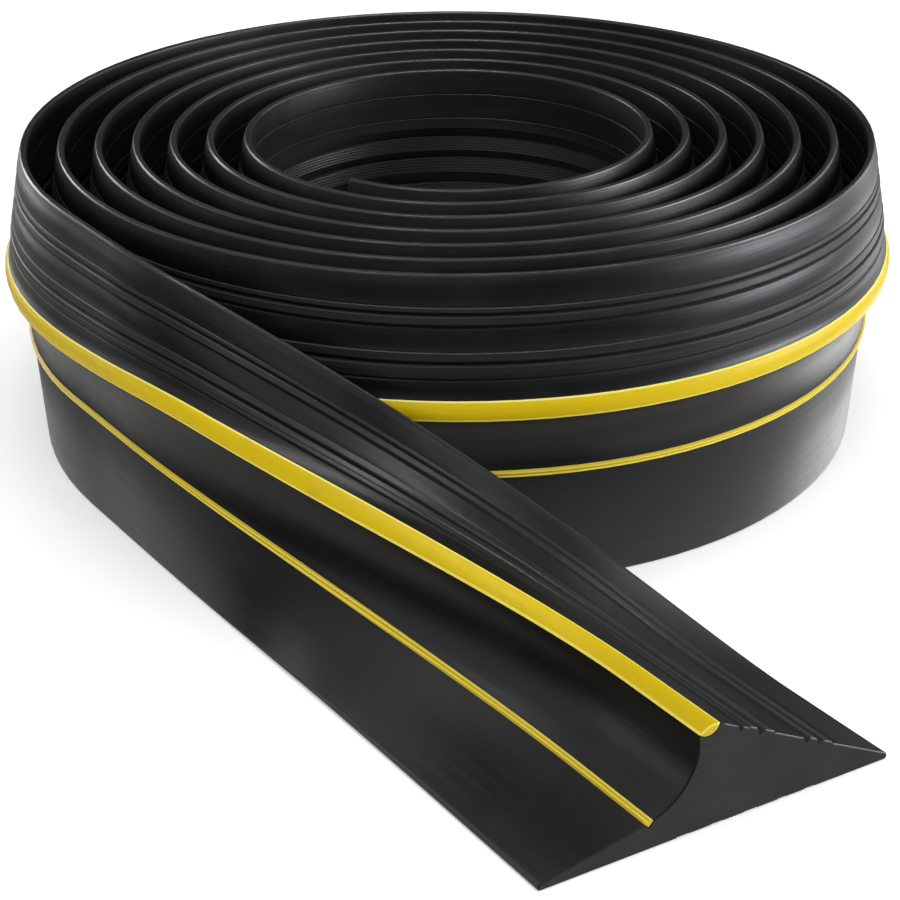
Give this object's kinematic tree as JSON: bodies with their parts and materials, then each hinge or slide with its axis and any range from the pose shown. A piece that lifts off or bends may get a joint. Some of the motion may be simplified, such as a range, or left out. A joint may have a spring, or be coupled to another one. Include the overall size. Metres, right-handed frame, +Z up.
{
  "type": "garage door threshold seal strip",
  "caption": "Coiled black rubber threshold seal strip of wedge section with a wide yellow crest bead and a narrow yellow foot stripe, its free end led off and laid flat.",
  "frame": {"origin": "on the floor, at the middle of the footprint of the roll and its led-off end", "axes": "+Z up; the roll's axis is vertical; the free end is led off from the -X side of the roll towards -Y and lies flat there"},
  "size_m": [0.3786, 0.5346, 0.126],
  "materials": {
    "black_rubber": "satin extruded rubber",
    "yellow_bead": "satin co-extruded soft plastic",
    "yellow_stripe": "satin co-extruded soft plastic"
  },
  "bodies": {
    "root": {"rubber_strip": "black_rubber", "crest_bead": "yellow_bead", "foot_stripe": "yellow_stripe"}
  },
  "joints": []
}
